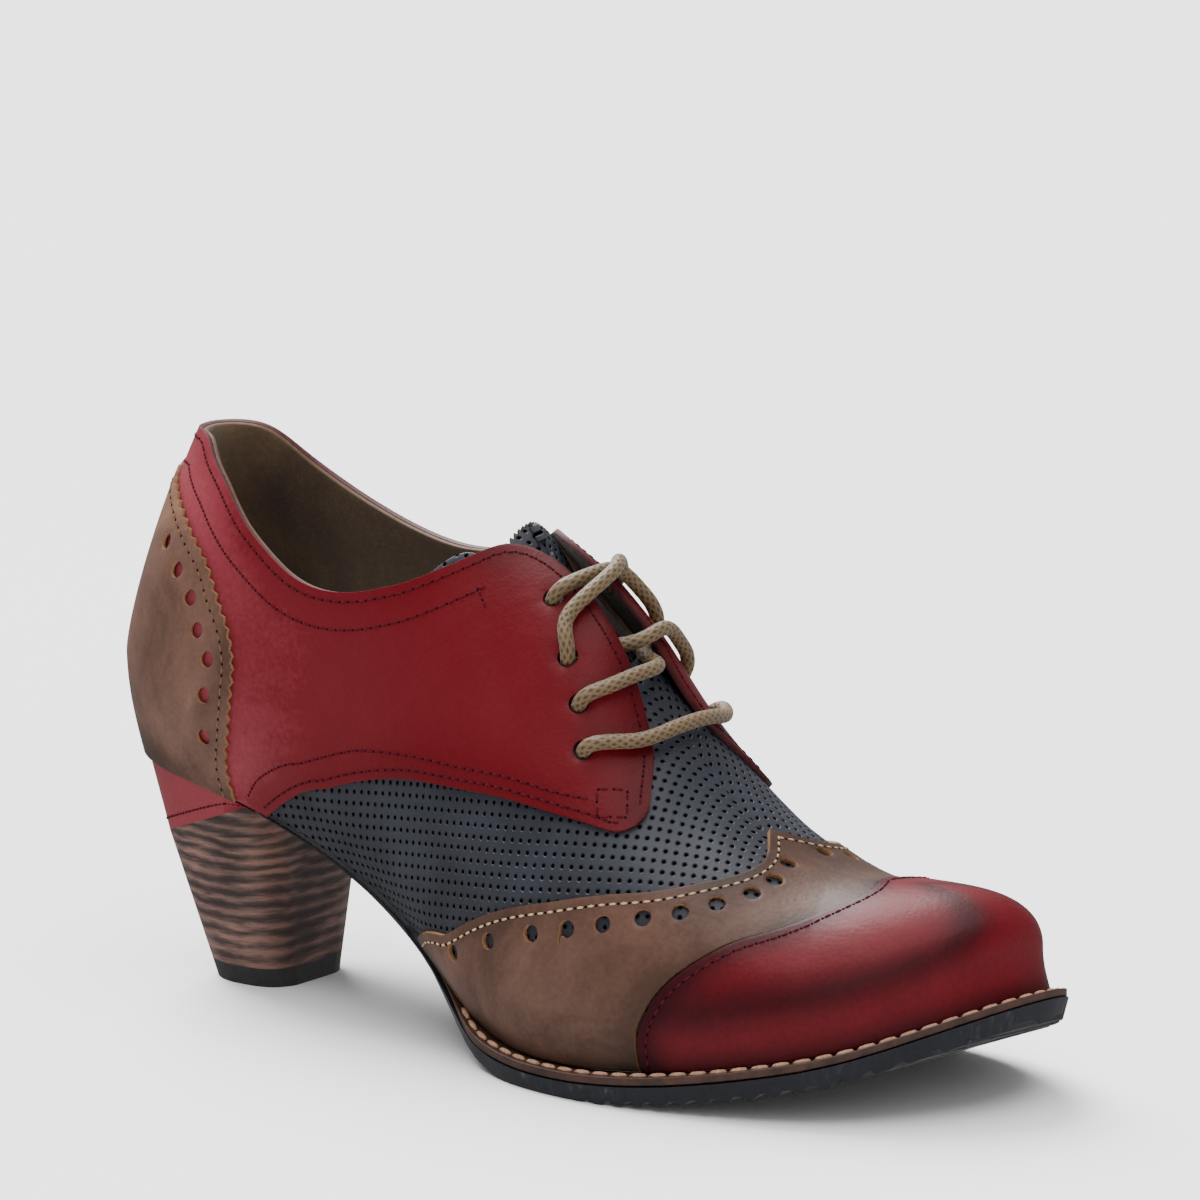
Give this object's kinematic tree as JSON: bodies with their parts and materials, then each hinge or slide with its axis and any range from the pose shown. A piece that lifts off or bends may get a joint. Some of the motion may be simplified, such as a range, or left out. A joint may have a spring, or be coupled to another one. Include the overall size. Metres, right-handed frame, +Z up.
{
  "type": "heeled oxford shoe",
  "caption": "Woman's right heeled oxford shoe with a wing toe, contrast leather panels, laced open facings and a tapered stacked block heel.",
  "frame": {"origin": "centre of the bounding box at the floor", "axes": "+X towards the toe, +Y towards the inner side of the foot, +Z up"},
  "size_m": [0.2425, 0.0897, 0.1291],
  "materials": {
    "vamp_leather": "satin navy black, pinholed",
    "quarter_leather": "burnished red, waxed",
    "wing_leather": "grey brown, satin, pinked edge",
    "cap_leather": "burnished red, polished",
    "tongue_leather": "satin black, pinholed",
    "insole_lining": "dark brown suede",
    "welt_leather": "dark red brown, thick cream stitch",
    "sole_rubber": "matte charcoal",
    "band_leather": "burnished red",
    "heel_stack": "stacked lifts, light and dark brown",
    "tip_rubber": "matte dark grey",
    "lace_braid": "waxed round braid"
  },
  "bodies": {
    "root": {"upper": "vamp_leather", "quarters": "quarter_leather", "counter": "wing_leather", "wing": "wing_leather", "toe_cap": "cap_leather", "tongue": "tongue_leather", "insole": "insole_lining", "welt": "welt_leather", "outsole": "sole_rubber", "heel_band": "band_leather", "heel": "heel_stack", "heel_tip": "tip_rubber", "lace_bar": "lace_braid", "lace_third_outer": "lace_braid", "lace_third_inner": "lace_braid", "lace_top_crossing": "lace_braid"}
  },
  "joints": []
}
